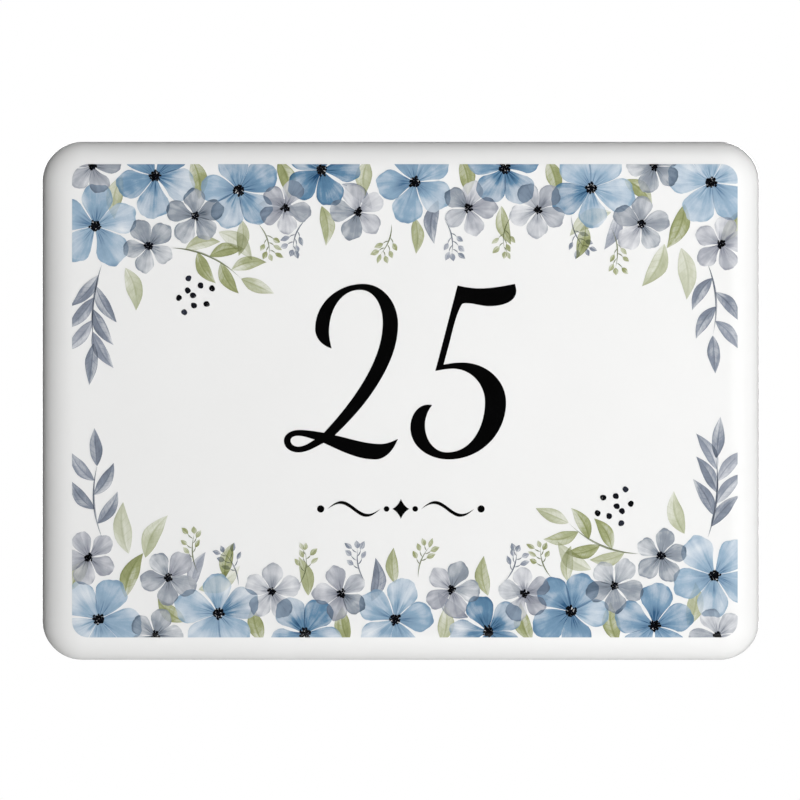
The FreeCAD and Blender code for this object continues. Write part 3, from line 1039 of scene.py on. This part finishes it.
# The garland from its uppermost marks to its lowest: node, piece, slot, finish, marks
garland = [
    ("grey_blossoms", "grey_petals", "grey_print", petal_finish("grey_wash", 1.0),
     blossoms(GREY_BLOSSOMS, GREY_TONES)),
    ("blue_blossoms", "blue_petals", "blue_print", petal_finish("blue_wash", 0.9),
     blossoms(BLUE_BLOSSOMS, BLUE_TONES)),
    ("berries", "painted_berries", "black_print", dab_finish("berry_paint"),
     berries()),
    ("green_leaves", "olive_leaves", "green_print", leaf_finish("olive_wash"),
     leaves(GREEN_LEAVES, GREEN_TONES) + sprig(GREEN_SPRIG_LEAVES, *GREEN_SPRIG, GREEN_TONES, OLIVE_STEM)
     + twigs(OLIVE_TWIGS, GREEN_TONES, OLIVE_STEM)),
    ("slate_leaves", "slate_blue_leaves", "slate_print", leaf_finish("slate_wash"),
     leaves(SLATE_LEAVES, SLATE_TONES)
     + sprig(LEFT_SLATE_SPRIG_LEAVES, *LEFT_SLATE_SPRIG, SLATE_TONES, SLATE_STEM)
     + sprig(RIGHT_SLATE_SPRIG_LEAVES, *RIGHT_SLATE_SPRIG, SLATE_TONES, SLATE_STEM)
     + twigs(SLATE_TWIGS, SLATE_TONES, SLATE_STEM)),
    ("sage_leaves", "pale_sage_leaves", "sage_print", leaf_finish("sage_wash"),
     leaves(SAGE_LEAVES, SAGE_TONES)),
]
garland_marks = []
for node, _, _, _, marks in garland:
    garland_marks += in_both_bands(marks, node)
garland_fields = printed_fields(garland_marks)
for node, name, slot, finish, _ in garland:
    own = [field for field in garland_fields if field[1][0].kind == node]
    dress(printed_piece(name, own, -plate_depth, finish), node)

eye_marks = specks(BLUE_BLOSSOMS, BLUE_EYE_RADIUS) + specks(GREY_BLOSSOMS, GREY_EYE_RADIUS)
eye_fields = printed_fields(in_both_bands(eye_marks, "eyes"))
eyes = printed_piece("stamen_specks", eye_fields, -plate_depth - PRINT_THICKNESS, dab_finish("speck_paint"))
dress(eyes, "blossom_eyes")

black = ink_finish("black_ink")
figures, openings = numerals()
dress(printed_piece("house_number", printed_fields(figures, openings), -plate_depth, black),
      "numerals")
dress(printed_piece("waved_flourish", printed_fields(flourish()), -plate_depth, black),
      "flourish")


# Stage, lamps and camera

def floor_finish(name):
    """Pale floor that keeps shadows, and looks paler to the camera than its own light makes it."""
    finish = Finish(bpy.data.materials.new(name))
    tone = finish.mix(finish.grain(FLOOR_CLOUD), FLOOR_TONE, FLOOR_TONE_DEEP)
    lit = finish.node("BsdfDiffuse", {}, {"Color": tone})
    pale = finish.node("Emission", {}, {"Color": tone})
    seen = finish.node("LightPath", {}, {}, "Is Camera Ray")
    return finish.close(finish.node("MixShader", {}, {0: FLOOR_PALENESS * seen, 1: lit, 2: pale}))


def plain_stage():
    """Floor well below the plaque."""
    mesh = bmesh.new()
    bmesh.ops.create_grid(mesh, x_segments=1, y_segments=1, size=FLOOR_REACH)
    bmesh.ops.translate(mesh, vec=(0, 0, -FLOOR_DROP), verts=mesh.verts)
    piece("floor", mesh, [floor_finish("pale_floor")])


def softbox(name, place, target, width, height, strength, glints):
    """Rectangular lamp."""
    data = bpy.data.lights.new(name, "AREA")
    data.shape = "RECTANGLE"
    data.size = width
    data.size_y = height
    data.energy = strength
    lamp = bpy.data.objects.new(name, data)
    lamp.location = place
    lamp.rotation_euler = (Vector(target) - lamp.location).to_track_quat("-Z", "Y").to_euler()
    bpy.context.scene.collection.objects.link(lamp)
    lamp.visible_camera = False
    lamp.visible_glossy = glints


def world_light():
    """Even dim room, white where the camera looks past the plaque."""
    room = Finish(bpy.data.worlds.new("studio"))
    shade = room.mix(room.node("LightPath", {}, {}, "Is Camera Ray"), ROOM_TONE, WHITE)
    bpy.context.scene.world = room.close(room.node("Background", {}, {"Color": shade}), "OutputWorld")


def front_camera():
    """Camera square on to the face, framed as the photograph."""
    data = bpy.data.cameras.new("front_camera")
    data.sensor_width = SENSOR_WIDTH
    data.lens = SENSOR_WIDTH * CAMERA_DISTANCE / (VIEW_WIDTH * MM)
    data.clip_start = 0.01
    camera = bpy.data.objects.new("front_camera", data)
    across = (PHOTO_SIZE / 2 - PLAQUE_PIXEL[0]) / PHOTO_SIZE * VIEW_WIDTH * MM
    down = (PHOTO_SIZE / 2 - PLAQUE_PIXEL[1]) / PHOTO_SIZE * VIEW_WIDTH * MM
    camera.location = (across, -plate_depth * MM - CAMERA_DISTANCE, -down)
    camera.rotation_euler = (math.pi / 2, 0, 0)
    bpy.context.scene.collection.objects.link(camera)
    bpy.context.scene.camera = camera


plain_stage()
world_light()
for lamp in LAMPS:
    softbox(*lamp)
front_camera()
bpy.context.scene.view_settings.view_transform = "Standard"
